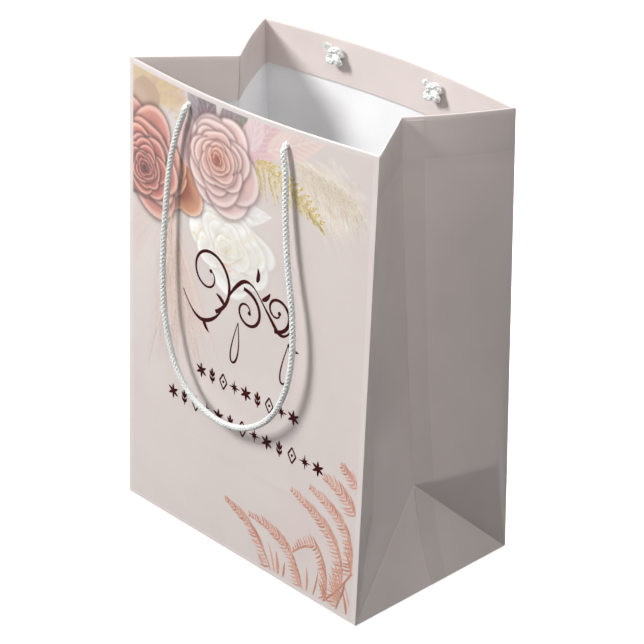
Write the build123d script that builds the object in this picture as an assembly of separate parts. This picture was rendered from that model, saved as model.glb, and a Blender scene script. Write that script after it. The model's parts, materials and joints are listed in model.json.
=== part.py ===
from build123d import *
import math
import os

os.makedirs("parts", exist_ok=True)

# Paper gift bag with two cord handles. Millimetres, +Z up, origin on the floor at the centre of the
# base, +X to the right, the decorated front facing -Y. The left and right gussets are on -X and +X.

# ---- driving dimensions ----
WIDTH = 190.0  # base, left to right
DEPTH = 118.0  # base, front to back
HEIGHT = 268.0  # length of the front panel along its slope
LEAN = 2.2  # how far the front and back panels lean inward, degrees
BOW = 9.0  # how far the middle of a top edge bows outward
BOW_POWER = 1.3  # the bow fades towards the base with this power of the height
PAPER = 0.4  # coated bag paper
HEM_PAPER = 0.3  # the turned-in hem, drawn flat
HEM_HEIGHT = 26.0
HEM_INSET = 10.0  # from the fold edges of a wall
HEM_DROP = 0.2  # from a wall's top edge to the top of its turned-in hem
PANEL_INSET = 0.1  # from a panel's upright edges to the fold lines
PANEL_COLUMNS = 12  # flat facets across a bowed panel
PANEL_LEVELS = 6  # and up it
PLY_GAP = 0.15  # between two plies of a bowed panel
CARD = 0.5  # reinforcing strip inside the top hem
CARD_HEIGHT = 22.0
CARD_INSET = 14.0
CARD_DROP = 1.0  # from the top edge to the card
BASE_CARD = 1.2  # loose-cut greyboard in the base
BASE_CARD_INSET = 4.0
BASE_FLAP_INSET = 1.0  # from the fold lines to the base's flaps
INNER_FLAP_DEPTH = 66.0  # the front panel's flap, glued inside the back panel's
SIDE_FLAP_INSET = 1.2
SIDE_FLAP_TIP = 8.0  # half the width of a side flap where its cut corners end
WALL_START = 0.6  # lowest edge of every wall above the floor
FOLD_GAP = 0.3  # from a fold's axis to the sheet that turns about it
TWIST_GAP = 0.4  # between two plies of a gusset, which twists
CREASE_GAP = 2.8  # from the gusset's centre crease to each half, at the top of the diagonals
CREASE_GAP_TOP = 6.4  # the same at the top edge, where the halves swing past the crease a little
HEM_CREASE_GAP = 8.0  # from the centre crease to a gusset hem and to the lap seam
GUSSET_START = 3.0  # lowest level of a gusset half, which ends in a point at the base's corner
GUSSET_STEP = 15.0  # the next level up
NARROW_SHARE = 0.3  # a gusset half's gaps take no more than this share of a narrow level
FOOT_INSET = 1.6  # from the triangle at the gusset's foot to the corners of the base
FOOT_TOP_SHARE = 0.985  # the triangle stops just short of its point
SEAM_WIDTH = 11.0  # glued lap seam behind the right gusset's centre crease
SEAM_FOOT_GAP = 3.0  # from the top of the diagonal creases to the seam's lower end
SEAM_HEM_GAP = 1.0  # from the seam's upper end to the hem

CORD = 3.3  # braided cord, diameter
CORD_GAP = 0.55  # between the outer face of a panel and the cord that hangs in front of it
HOLE_X = 37.6  # half the distance between a panel's two holes
HOLE_DROP = 9.4  # from the top edge to a hole's centre
HOLE_RADIUS = 2.1
PUNCH_LENGTH = 12.0  # through the panel, its card and its hem
KNOT_RADIUS = 4.6
STUB_GAP = 0.3  # from a stub's outer end back to the outer face of the paper
NO_AREA = 1e-6  # twice the area of a triangle too thin to be a face

half_width = WIDTH / 2
half_depth = DEPTH / 2
hole_height = HEIGHT - HOLE_DROP
sin_lean = math.sin(math.radians(LEAN))
cos_lean = math.cos(math.radians(LEAN))
hem_inside = 2 * PLY_GAP + CARD + HEM_PAPER  # inner face of a panel's hem, from the panel's inner face


def bow(u, v):
    """How far the front panel's inner face bulges at u from its middle and v up its slope."""
    return BOW * math.cos(math.pi * u / WIDTH) * (v / HEIGHT) ** BOW_POWER


def spread(first, last, count):
    """count + 1 evenly spaced values from first to last."""
    return [first + (last - first) * i / count for i in range(count + 1)]


def sheet(rows, outward, inner, outer):
    """Closed thin solid over a grid of points. Each row has its own outward direction."""
    skins = []
    for offset in (inner, outer):
        skins.append([[p + d * offset for p in row] for row, d in zip(rows, outward)])
    low, high = skins
    faces = []

    def triangle(a, b, c):
        if (b - a).cross(c - a).length > NO_AREA:
            faces.append(Face(Wire.make_polygon([a, b, c])))

    def quad(a, b, c, d):
        triangle(a, b, c)
        triangle(a, c, d)

    last_row = len(rows) - 1
    last_column = len(rows[0]) - 1
    for i in range(last_row):
        for j in range(last_column):
            for skin in (low, high):
                quad(skin[i][j], skin[i][j + 1], skin[i + 1][j + 1], skin[i + 1][j])
        for j in (0, last_column):
            quad(low[i][j], low[i + 1][j], high[i + 1][j], high[i][j])
    for j in range(last_column):
        for i in (0, last_row):
            quad(low[i][j], low[i][j + 1], high[i][j + 1], high[i][j])
    return Solid(Shell(faces))


def on_front(shape):
    """Stand a shape drawn in the front panel's own frame (x across, z up the slope, -y outward)."""
    return Pos(0, -half_depth, 0) * Rot(-LEAN, 0, 0) * shape


def on_back(shape):
    return Rot(0, 0, 180) * on_front(shape)


def panel_sheet(inset, bottom, top, inner, outer, columns, levels):
    """Bowed sheet parallel to the front panel, in the panel's own frame."""
    across = spread(-half_width + inset, half_width - inset, columns)
    rows = [[Vector(u, -bow(u, v), v) for u in across] for v in spread(bottom, top, levels)]
    return sheet(rows, [Vector(0, -1, 0)] * len(rows), inner, outer)


def punch(shape):
    """Cut the two cord holes of a panel, straight through along the panel's own y."""
    for side in (-1, 1):
        x = side * HOLE_X
        hole = Cylinder(HOLE_RADIUS, PUNCH_LENGTH, rotation=(90, 0, 0))
        shape -= Pos(x, -bow(x, hole_height), hole_height) * hole
    return shape


# ---- front and back walls ----
def wall_panel():
    return punch(panel_sheet(PANEL_INSET, WALL_START, HEIGHT, 0, PAPER, PANEL_COLUMNS, PANEL_LEVELS))


def wall_card():
    top = HEIGHT - CARD_DROP
    bottom = top - CARD_HEIGHT
    return punch(panel_sheet(CARD_INSET, bottom, top, -PLY_GAP - CARD, -PLY_GAP, PANEL_COLUMNS, 1))


def wall_hem():
    bottom = HEIGHT - HEM_HEIGHT
    top = HEIGHT - HEM_DROP
    inner = -hem_inside
    return punch(panel_sheet(HEM_INSET, bottom, top, inner, inner + HEM_PAPER, PANEL_COLUMNS, 1))


def knot(side):
    """Overhand knot inside the hem, with the stub of cord that passes through the paper."""
    x = side * HOLE_X
    face = -bow(x, hole_height)
    inside = hem_inside + PLY_GAP
    ball = Pos(x, face + inside + KNOT_RADIUS, hole_height) * Sphere(KNOT_RADIUS)
    outer_end = face - PAPER + STUB_GAP
    length = face + inside + KNOT_RADIUS - outer_end
    stub = Pos(x, outer_end + length / 2, hole_height) * Cylinder(CORD / 2, length, rotation=(90, 0, 0))
    return ball + stub


# ---- gussets ----
def fold_reach(v):
    """How far the centre crease is pushed in from the side at slope height v."""
    return math.sqrt(half_depth**2 - (half_depth - v * sin_lean) ** 2)


# The diagonal creases run from the base's corners to this point on the gusset's centre crease.
peak_slope = half_depth
peak_reach = fold_reach(peak_slope)
peak_height = math.sqrt(half_depth**2 - peak_reach**2)


def edge_point(v):
    return Vector(half_width, -half_depth + v * sin_lean, v * cos_lean)


def crease_point(v):
    return Vector(half_width - fold_reach(v), 0, v * cos_lean)


def gusset_row(start, end, cut_start, cut_end):
    """Three points along one level of a gusset half, with both ends cut back."""
    way = end - start
    first = start + way * (cut_start / way.length)
    last = end - way * (cut_end / way.length)
    return [first, (first + last) * 0.5, last]


def crease_cut(v):
    return CREASE_GAP + (CREASE_GAP_TOP - CREASE_GAP) * (v - peak_slope) / (HEIGHT - peak_slope)


def gusset_sheet(levels, cut_start, cut_end, inner, outer):
    """Right front gusset half above the diagonal crease, between its fold and its centre crease.

    cut_end says how far the sheet ends from the centre crease at a level above the diagonals."""
    rows = []
    outward = []
    for v in levels:
        start = edge_point(v)
        share = min(v / peak_slope, 1)
        if share < 1:
            peak = Vector(half_width - peak_reach, 0, peak_height)
            corner = edge_point(0)
            end = corner + (peak - corner) * share
            narrow = NARROW_SHARE * (end - start).length
            rows.append(gusset_row(start, end, min(cut_start, narrow), min(CREASE_GAP, narrow)))
        else:
            end = crease_point(v)
            rows.append(gusset_row(start, end, cut_start, cut_end(v)))
        across = (end - start).normalized()
        outward.append(Vector(across.Y, -across.X, 0).normalized())
    return sheet(rows, outward, inner, outer)


def gusset_half():
    levels = [GUSSET_START] + spread(GUSSET_STEP, peak_slope, 3) + spread(peak_slope, HEIGHT, 8)[1:]
    return gusset_sheet(levels, FOLD_GAP, crease_cut, 0, PAPER)


def gusset_hem():
    levels = spread(HEIGHT - HEM_HEIGHT, HEIGHT - HEM_DROP, 1)
    inner = -TWIST_GAP - HEM_PAPER
    return gusset_sheet(levels, HEM_INSET, lambda v: HEM_CREASE_GAP, inner, -TWIST_GAP)


def lap_seam():
    """Glue flap on the inner face of the half behind the crease, drawn as on a front half."""
    levels = spread(peak_slope + SEAM_FOOT_GAP, HEIGHT - HEM_HEIGHT - SEAM_HEM_GAP, 7)
    start_cut = half_depth - HEM_CREASE_GAP - SEAM_WIDTH
    inner = -TWIST_GAP - HEM_PAPER
    return gusset_sheet(levels, start_cut, lambda v: HEM_CREASE_GAP, inner, -TWIST_GAP)


def gusset_foot():
    """Triangle between the base's right edge and the two diagonal creases."""
    slope = Vector(-peak_reach, 0, peak_height).normalized()
    outward = Vector(slope.Z, 0, -slope.X)
    reach = half_depth - FOOT_INSET
    rows = []
    for share in (WALL_START / reach, 1 / 2, FOOT_TOP_SHARE):
        y = reach * (1 - share)
        foot = Vector(half_width, 0, 0) + slope * (reach * share)
        rows.append([foot + Vector(0, -y, 0), foot, foot + Vector(0, y, 0)])
    return sheet(rows, [outward] * 3, 0, PAPER)


# ---- base ----
def base_layer(depth, y, z, thickness, inset):
    return Pos(0, y, z + thickness / 2) * Box(WIDTH - 2 * inset, depth, thickness)


def side_flap():
    """Right side flap folded in under the base card, with its corners cut at 45 degrees."""
    edge = half_width - SIDE_FLAP_INSET
    side = half_depth - BASE_FLAP_INSET - SIDE_FLAP_INSET
    tip = half_width - (half_depth - SIDE_FLAP_TIP)
    outline = Polyline(
        (edge, -side),
        (edge, side),
        (tip, SIDE_FLAP_TIP),
        (tip, -SIDE_FLAP_TIP),
        close=True,
    )
    return Pos(0, 0, 2 * HEM_PAPER) * extrude(make_face(outline), HEM_PAPER)


# ---- cord handles ----
# Hand-set route of a hanging handle: across the panel, up its slope, and out from its flat plane.
cord_start = bow(HOLE_X, hole_height) + PAPER + CORD_GAP + CORD / 2
ROUTE = [
    (-HOLE_X, hole_height, cord_start),
    (-43.5, 246.0, cord_start),
    (-49.5, 224.0, 10.4),
    (-52.5, 193.0, 10.8),
    (-54.0, 160.0, 11.2),
    (-51.0, 128.0, 11.7),
    (-38.0, 99.0, 12.0),
    (-12.5, 86.5, 12.2),
    (15.0, 89.0, 12.2),
    (38.0, 105.0, 12.0),
    (50.5, 133.0, 11.7),
    (51.0, 165.0, 11.2),
    (44.5, 194.0, 10.8),
    (41.0, 224.0, 10.4),
    (40.2, 245.0, cord_start),
    (HOLE_X, hole_height, cord_start),
]


def cord_radii(points):
    """As large an arc at each corner as its two runs allow."""
    radii = []
    for before, here, after in zip(points, points[1:], points[2:]):
        shorter = min((here - before).length, (after - here).length)
        turn = math.radians((here - before).get_angle(after - here))
        radii.append(0.45 * shorter / math.tan(turn / 2))
    return radii


def handle(mirrored):
    """Hanging cord in the front panel's frame. A ball at each end turns about the line of the holes."""
    sign = -1 if mirrored else 1
    points = [Vector(sign * u, -w, v) for u, v, w in ROUTE]
    radii = cord_radii(points)
    path = FilletPolyline(*points, radius=radii)
    start = Plane(origin=points[0], z_dir=points[1] - points[0])
    tube = sweep(start * Circle(CORD / 2), path=path)
    expected = path.length * math.pi * (CORD / 2) ** 2
    print("cord length", round(path.length, 1), "volume ratio", round(tube.volume / expected, 4))
    print("cord radii", [round(r, 1) for r in radii])
    for end in (points[0], points[-1]):
        tube += Pos(*tuple(end)) * Sphere(CORD / 2)
    return tube


# ---- write the parts ----
outer_flap_depth = DEPTH - 2 * BASE_FLAP_INSET
inner_flap_y = (INNER_FLAP_DEPTH - outer_flap_depth) / 2
base_card_depth = DEPTH - 2 * BASE_CARD_INSET
parts = {
    "front_panel": on_front(wall_panel()),
    "front_top_card": on_front(wall_card()),
    "front_hem": on_front(wall_hem()),
    "back_panel": on_back(wall_panel()),
    "back_top_card": on_back(wall_card()),
    "back_hem": on_back(wall_hem()),
    "front_cord": on_front(handle(False)),
    "back_cord": on_back(handle(True)),
    "base_outer_flap": base_layer(outer_flap_depth, 0, 0, HEM_PAPER, BASE_FLAP_INSET),
    "base_inner_flap": base_layer(INNER_FLAP_DEPTH, inner_flap_y, HEM_PAPER, HEM_PAPER, BASE_FLAP_INSET),
    "base_card": base_layer(base_card_depth, 0, 3 * HEM_PAPER, BASE_CARD, BASE_CARD_INSET),
}
for name, place in (("front", on_front), ("back", on_back)):
    for side, word in ((-1, "left"), (1, "right")):
        turned = side if name == "front" else -side
        parts[f"{name}_knot_{word}"] = place(knot(turned))

right_pieces = {
    "gusset_front": gusset_half(),
    "gusset_front_hem": gusset_hem(),
    "gusset_foot": gusset_foot(),
    "base_side_flap": side_flap(),
}
for name, solid in right_pieces.items():
    parts[f"right_{name}"] = solid
    parts[f"left_{name}"] = solid.mirror(Plane.YZ)
for word in ("right", "left"):
    for name in ("gusset_front", "gusset_front_hem"):
        back_name = name.replace("front", "back")
        parts[f"{word}_{back_name}"] = parts[f"{word}_{name}"].mirror(Plane.XZ)
parts["lap_seam_flap"] = lap_seam().mirror(Plane.XZ)

for name, solid in parts.items():
    export_step(solid, f"parts/{name}.step")
print(len(parts), "parts; diagonals meet", round(peak_reach, 2), "in and", round(peak_height, 2), "up")
print("centre crease is", round(fold_reach(HEIGHT), 2), "in at the top")
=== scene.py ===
import json
import math
import random

import bmesh
import bpy
import numpy as np
from mathutils import Matrix, Vector


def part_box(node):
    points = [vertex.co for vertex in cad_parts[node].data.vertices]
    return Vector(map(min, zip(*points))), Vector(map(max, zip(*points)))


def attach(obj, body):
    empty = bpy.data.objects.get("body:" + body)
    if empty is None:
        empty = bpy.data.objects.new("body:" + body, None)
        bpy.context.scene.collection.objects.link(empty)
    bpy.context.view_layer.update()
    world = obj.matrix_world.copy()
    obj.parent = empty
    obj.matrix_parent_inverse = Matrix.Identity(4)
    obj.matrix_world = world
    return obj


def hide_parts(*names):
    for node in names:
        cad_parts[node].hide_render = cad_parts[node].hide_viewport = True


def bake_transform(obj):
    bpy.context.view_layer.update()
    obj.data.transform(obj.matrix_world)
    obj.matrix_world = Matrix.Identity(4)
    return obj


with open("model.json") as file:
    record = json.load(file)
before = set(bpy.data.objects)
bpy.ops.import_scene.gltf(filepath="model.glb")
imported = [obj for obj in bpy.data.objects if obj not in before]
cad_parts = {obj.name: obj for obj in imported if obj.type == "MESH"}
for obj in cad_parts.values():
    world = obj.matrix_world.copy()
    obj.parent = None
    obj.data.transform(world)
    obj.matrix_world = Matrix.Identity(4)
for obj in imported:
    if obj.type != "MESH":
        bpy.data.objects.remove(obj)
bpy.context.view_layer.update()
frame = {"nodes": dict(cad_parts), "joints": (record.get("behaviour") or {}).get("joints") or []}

# ---------------- sizes, from the frame (metres)
MM = 0.001
joint = {j["name"]: j for j in frame["joints"]}
corner = joint["right_front_fold"]["pos_m"]
HALF_W = corner[0]
HALF_D = -corner[1]
fold_axis = joint["right_front_fold"]["axis"]
SIN_LEAN = fold_axis[1]
COS_LEAN = fold_axis[2]
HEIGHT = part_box("left_gusset_front")[1].z / COS_LEAN
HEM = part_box("front_hem")[1].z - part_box("front_hem")[0].z
HOLE_X = 37.6 * MM
HOLE_V = HEIGHT - 9.4 * MM
BOW = 9.0 * MM  # outward bow of the middle of a top edge
BOW_POWER = 1.3
PAPER = 0.35 * MM
CORD = 3.3 * MM
CARD_GAP = 1.15 * MM  # from the middle of the wall's paper to the middle of its turned-in hem
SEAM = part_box("lap_seam_flap")[1].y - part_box("lap_seam_flap")[0].y
PEAK_DROP = 2.2 * MM  # the gusset's centre crease ends this much lower than the wall's top edge


def bow(u, v):
    """Outward bow of a wall, with the faint level crease where the flat bag was folded."""
    crease = 0.1 * MM * np.exp(-(((v - HALF_D) / (2.2 * MM)) ** 2))
    return BOW * np.cos(np.pi * u / (2 * HALF_W)) * (np.maximum(v, 0) / HEIGHT) ** BOW_POWER + crease


def front_point(u, v, w):
    """u across, v up the slope, w outward from the front wall's flat plane, without the bow."""
    y = -HALF_D + v * SIN_LEAN - w * COS_LEAN
    return np.stack([u + 0 * v, y, v * COS_LEAN + w * SIN_LEAN], axis=-1)


def front_surface(u, v, w):
    return front_point(u, v, w + bow(u, v))


def mirrored(surface, x=1, y=1):
    """The same surface on the other side of the bag."""
    return lambda *place: surface(*place) * np.array([x, y, 1.0])


# ---------------- camera
def make_camera():
    azimuth, elevation, roll = (math.radians(a) for a in (46.27, 26.61, 0.62))
    distance = 1.214
    aim_right, aim_up = 3.5 * MM, -7.5 * MM
    level = math.cos(elevation)
    back = Vector((math.sin(azimuth) * level, -math.cos(azimuth) * level, math.sin(elevation)))
    right = Vector((math.cos(azimuth), math.sin(azimuth), 0))
    up = back.cross(right)
    right, up = (
        right * math.cos(roll) + up * math.sin(roll),
        up * math.cos(roll) - right * math.sin(roll),
    )
    centre = Vector((0, 0, 135 * MM))
    data = bpy.data.cameras.new("camera")
    data.sensor_width = 36.0
    data.lens = 123.15
    data.clip_end = 20
    camera = bpy.data.objects.new("camera", data)
    bpy.context.scene.collection.objects.link(camera)
    place = centre + right * aim_right + up * aim_up + back * distance
    camera.matrix_world = Matrix.Translation(place) @ Matrix((right, up, back)).transposed().to_4x4()
    bpy.context.scene.camera = camera


# ---------------- mesh helpers
def new_object(name, verts, faces, materials, face_material=None, smooth=35):
    mesh = bpy.data.meshes.new(name)
    mesh.from_pydata([tuple(p) for p in verts], [], [list(map(int, f)) for f in faces])
    for m in materials:
        mesh.materials.append(m)
    if face_material is not None:
        mesh.polygons.foreach_set("material_index", np.array(face_material, np.int32))
    work = bmesh.new()
    work.from_mesh(mesh)
    bmesh.ops.recalc_face_normals(work, faces=work.faces)
    work.to_mesh(mesh)
    work.free()
    mesh.shade_smooth()
    mesh.set_sharp_from_angle(angle=math.radians(smooth))
    mesh.update()
    thing = bpy.data.objects.new(name, mesh)
    bpy.context.scene.collection.objects.link(thing)
    return thing


class Builder:
    """Collects closed islands of vertices and faces into one mesh."""

    def __init__(self):
        self.verts = []
        self.faces = []
        self.mats = []

    def add(self, verts, faces, mats=0):
        base = len(self.verts)
        self.verts.extend(np.asarray(verts).reshape(-1, 3))
        self.faces.extend([[base + i for i in f] for f in faces])
        self.mats.extend(mats if hasattr(mats, "__len__") else [mats] * len(faces))

    def finish(self, name, materials, smooth=35):
        return new_object(name, self.verts, self.faces, materials, self.mats, smooth)


def ring_faces(columns, count):
    """Quads of a closed ring of count points swept over columns, with both ends capped."""
    faces = []
    for c in range(columns - 1):
        a = c * count
        b = a + count
        for k in range(count):
            n = (k + 1) % count
            faces.append([a + k, b + k, b + n, a + n])
    faces.append(list(range(count)))
    faces.append([(columns - 1) * count + k for k in reversed(range(count))])
    return faces


def carried_frame(line):
    """Normals and binormals carried along a line without twist."""
    tangents = np.gradient(line, axis=0)
    tangents /= np.linalg.norm(tangents, axis=1)[:, None]
    first = np.array([1.0, 0, 0]) if abs(tangents[0][0]) < 0.9 else np.array([0, 1.0, 0])
    normal = np.cross(tangents[0], first)
    normals = []
    for t in tangents:
        normal = normal - t * (normal @ t)
        normal = normal / np.linalg.norm(normal)
        normals.append(normal)
    normals = np.array(normals)
    return normals, np.cross(tangents, normals)


def tube(points, radius, sides):
    """Closed round tube along points, as (verts, faces)."""
    points = np.asarray(points, float)
    normals, binormals = carried_frame(points)
    angles = np.linspace(0, 2 * np.pi, sides, endpoint=False)
    radius = np.broadcast_to(np.asarray(radius, float), (len(points),))
    circle = normals[:, None] * np.cos(angles)[None, :, None]
    circle = circle + binormals[:, None] * np.sin(angles)[None, :, None]
    verts = points[:, None] + circle * radius[:, None, None]
    return verts.reshape(-1, 3), ring_faces(len(points), sides)


# ---------------- materials
def node(tree, kind, **values):
    made = tree.nodes.new(kind)
    for key, value in values.items():
        setattr(made, key, value)
    return made


def base_material(name, colour, roughness, specular=0.5):
    mat = bpy.data.materials.new(name)
    mat.use_nodes = True
    tree = mat.node_tree
    shader = tree.nodes["Principled BSDF"]
    shader.inputs["Base Color"].default_value = (*colour, 1)
    shader.inputs["Roughness"].default_value = roughness
    shader.inputs["Specular IOR Level"].default_value = specular
    return mat, tree, shader


def noise(tree, scale, detail, rough=0.5):
    coords = node(tree, "ShaderNodeTexCoord")
    made = node(tree, "ShaderNodeTexNoise")
    made.inputs["Scale"].default_value = scale
    made.inputs["Detail"].default_value = detail
    made.inputs["Roughness"].default_value = rough
    tree.links.new(coords.outputs["Object"], made.inputs["Vector"])
    return made.outputs["Fac"]


def ramp(tree, factor, stops):
    made = node(tree, "ShaderNodeValToRGB")
    while len(made.color_ramp.elements) < len(stops):
        made.color_ramp.elements.new(0.5)
    for element, (place, colour) in zip(made.color_ramp.elements, stops):
        element.position = place
        element.color = (*colour, 1)
    tree.links.new(factor, made.inputs["Fac"])
    return made.outputs["Color"]


def bump(tree, shader, height, strength, distance):
    made = node(tree, "ShaderNodeBump")
    made.inputs["Strength"].default_value = strength
    made.inputs["Distance"].default_value = distance
    tree.links.new(height, made.inputs["Height"])
    tree.links.new(made.outputs["Normal"], shader.inputs["Normal"])


MIX_FACTOR, MIX_A, MIX_B, MIX_RESULT = 0, 6, 7, 2  # a Mix node's sockets for colours


def multiply(tree, first, second):
    made = node(tree, "ShaderNodeMix", data_type="RGBA", blend_type="MULTIPLY")
    made.inputs[MIX_FACTOR].default_value = 1.0
    tree.links.new(first, made.inputs[MIX_A])
    tree.links.new(second, made.inputs[MIX_B])
    return made.outputs[MIX_RESULT]


def shade(colour, k):
    return tuple(min(c * k, 1.0) for c in colour)


WHITE = (1.0, 1.0, 1.0)
BLUSH = (0.693, 0.617, 0.591)  # linear colour of the printed paper
LINING = (0.85, 0.85, 0.86)


def paper_material(name, colour, roughness, specular=0.5, printed=None):
    """Coated paper: slight mottle, fine fibre bump and an uneven satin. printed names a colour attribute."""
    mat, tree, shader = base_material(name, colour, roughness, specular)
    mottle = noise(tree, 38, 4)
    if printed:
        ink = node(tree, "ShaderNodeVertexColor", layer_name=printed).outputs["Color"]
        tone = ramp(tree, mottle, [(0.3, (0.97, 0.965, 0.965)), (0.7, WHITE)])
        base = multiply(tree, ink, tone)
    else:
        base = ramp(tree, mottle, [(0.3, shade(colour, 0.965)), (0.7, shade(colour, 1.02))])
    tree.links.new(base, shader.inputs["Base Color"])
    satin = [(0.3, shade(WHITE, roughness - 0.05)), (0.7, shade(WHITE, roughness + 0.06))]
    tree.links.new(ramp(tree, noise(tree, 90, 2), satin), shader.inputs["Roughness"])
    bump(tree, shader, noise(tree, 1500, 3, 0.6), 0.12, 0.2 * MM)
    return mat


def card_material():
    mat, tree, shader = base_material("greyboard", (0.42, 0.40, 0.37), 0.85)
    flecks = noise(tree, 900, 4, 0.7)
    stops = [(0.35, (0.30, 0.28, 0.26)), (0.5, (0.42, 0.40, 0.37)), (0.7, (0.52, 0.50, 0.46))]
    tree.links.new(ramp(tree, flecks, stops), shader.inputs["Base Color"])
    bump(tree, shader, flecks, 0.4, 0.2 * MM)
    return mat


def cord_material():
    mat, tree, shader = base_material("cord_white", (0.84, 0.86, 0.84), 0.6, 0.4)
    fibres = noise(tree, 2600, 2, 0.6)
    stops = [(0.3, (0.74, 0.76, 0.74)), (0.65, (0.86, 0.88, 0.86))]
    tree.links.new(ramp(tree, fibres, stops), shader.inputs["Base Color"])
    shader.inputs["Sheen Weight"].default_value = 0.25
    bump(tree, shader, fibres, 0.35, 0.2 * MM)
    return mat


# ---------------- painted artwork
# Places on the front panel are millimetres: across from its middle, up from its base.
def linear(r, g, b):
    """Linear colour of an sRGB colour given as 0 to 255."""
    c = np.array([r, g, b]) / 255.0
    return np.where(c <= 0.04045, c / 12.92, ((c + 0.055) / 1.055) ** 2.4)


def smooth(x, low, high):
    t = np.clip((x - low) / (high - low), 0, 1)
    return t * t * (3 - 2 * t)


def turned(x, y, angle):
    """Coordinates along and across a direction, in degrees."""
    c, s = math.cos(math.radians(angle)), math.sin(math.radians(angle))
    return x * c + y * s, y * c - x * s


class Canvas:
    """Colours on an uneven grid of panel points, painted shape over shape."""

    def __init__(self, us, vs, ground):
        self.us, self.vs = us, vs
        self.rgb = np.ones((len(vs), len(us), 3)) * ground

    def window(self, u, v, reach):
        a, b = np.searchsorted(self.us, (u - reach, u + reach))
        c, d = np.searchsorted(self.vs, (v - reach, v + reach))
        x, y = np.meshgrid(self.us[a:b] - u, self.vs[c:d] - v)
        return (slice(c, d), slice(a, b)), x, y

    def lay(self, place, mask, colour):
        self.rgb[place] += (colour - self.rgb[place]) * mask[..., None]


def petal(canvas, place, rho, phi, middle, half, reach, tones, rng, ruffle, depth):
    """One petal seen from above: dark at its foot, bright at its rolled rim, with a shadow outside it."""
    foot, body, rim, shadow = tones
    off = (phi - middle + np.pi) % (2 * np.pi) - np.pi
    wave = ruffle * np.sin(rng.uniform(2, 4) * off / half + rng.uniform(0, 6))
    edge = reach * (1 - 0.22 * (off / half) ** 2 + wave)
    soft = 0.035 * reach + 0.25
    side = smooth(half - np.abs(off), 0, 0.10)
    inside = smooth(edge - rho, -soft, soft) * side
    cast = np.exp(-(((rho - edge) / (0.06 * reach + 0.7)) ** 2)) * (rho > edge) * side
    canvas.lay(place, cast * depth, shadow)
    q = np.clip(rho / np.maximum(edge, 0.1), 0, 1)
    tone = foot + (body - foot) * smooth(q, 0.45, 0.86)[..., None]
    tone = tone * (1 + 0.05 * np.sin(off * 9 + rng.uniform(0, 6))[..., None])
    tone = tone + (rim - tone) * (smooth(q, 0.86, 0.96) * (0.65 + 0.35 * np.cos(off * 2)))[..., None]
    light = 1 + 0.07 * np.cos(phi - 2.2)
    canvas.lay(place, inside, tone * light[..., None] * rng.uniform(0.95, 1.04))


def rose(canvas, u, v, radius, outer, inner, seed, heart, rings, squash, ruffle, depth=0.55):
    """Open rose from outer petals to its heart. outer and inner are (foot, body, rim, shadow) tones."""
    rng = random.Random(seed)
    for ring in range(rings):
        share = ring / (rings - 1)
        place, x, y = canvas.window(u + heart[0] * share, v + heart[1] * share, radius * 1.25)
        y = y / squash
        rho, phi = np.hypot(x, y), np.arctan2(y, x)
        reach = radius * (1 - 0.87 * share**0.85)
        count = 5 - int(2 * share)
        tones = [a + (b - a) * share**1.4 for a, b in zip(outer, inner)]
        first = rng.uniform(0, 6)
        for i in range(count):
            middle = first + 2 * np.pi * i / count + rng.uniform(-0.25, 0.25)
            size = reach * rng.uniform(0.90, 1.07)
            petal(canvas, place, rho, phi, middle, np.pi / count * 1.4, size, tones, rng, ruffle, depth)
    place, x, y = canvas.window(u + heart[0], v + heart[1], radius * 0.3)
    rho, phi = np.hypot(x, y / squash), np.arctan2(y, x)
    swirl = 0.5 + 0.5 * np.sin(phi + rho * 13 / radius * 2.4)
    canvas.lay(place, smooth(radius * 0.15 - rho, 0, 1.2) * smooth(swirl, 0.35, 0.75) * 0.8, inner[3])


def leaf(canvas, u, v, length, width, angle, tone, vein, veins):
    """Leaf or long petal from its foot at (u, v), with a midrib and slanting veins."""
    place, x, y = canvas.window(u, v, length * 1.1)
    along, across = turned(x, y, angle)
    t = np.clip(along / length, 0, 1)
    half = width / 2 * np.sin(np.pi * t**0.75) ** 0.8 + 1e-6
    mask = smooth(half - np.abs(across), -0.2, 0.7) * (along > 0) * (along < length)
    lines = 0.5 + 0.5 * np.sin((along - np.abs(across) * 1.6) * veins * 2)
    shading = 0.92 + 0.1 * np.abs(across) / half
    colour = tone * shading[..., None]
    veined = 0.55 * smooth(lines, 0.72, 1) + 0.6 * np.exp(-((across / 0.5) ** 2))
    canvas.lay(place, mask, colour + (vein - colour) * veined[..., None])


def wash(canvas, u, v, wide, tall, angle, colour, alpha, seed, edge):
    """Soft watercolour patch with an uneven rim."""
    rng = random.Random(seed)
    place, x, y = canvas.window(u, v, max(wide, tall) * 1.3)
    a, b = turned(x, y, angle)
    a, b = a / wide, b / tall
    phi = np.arctan2(b, a)
    rim = 1 + sum(0.09 / k * np.sin(k * phi + rng.uniform(0, 6)) for k in (2, 3, 5, 8))
    mask = smooth(rim - np.hypot(a, b), 0, edge)
    canvas.lay(place, mask * alpha, colour)


def speckle(canvas, u, v, wide, tall, colours, count, size, alpha, seed, angle=0):
    """Loose brush dabs inside an ellipse."""
    rng = random.Random(seed)
    for _ in range(count):
        r, t = math.sqrt(rng.random()), rng.uniform(0, 2 * np.pi)
        du, dv = wide * r * math.cos(t), tall * r * math.sin(t)
        dab = size * rng.uniform(0.6, 1.5)
        place, x, y = canvas.window(u + du, v + dv, dab * 2.2)
        a, b = turned(x, y, angle + rng.uniform(-25, 25))
        mask = np.exp(-((a / dab) ** 2) - (b / (dab * 0.42)) ** 2)
        canvas.lay(place, mask * alpha * rng.uniform(0.5, 1), rng.choice(colours))


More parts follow.
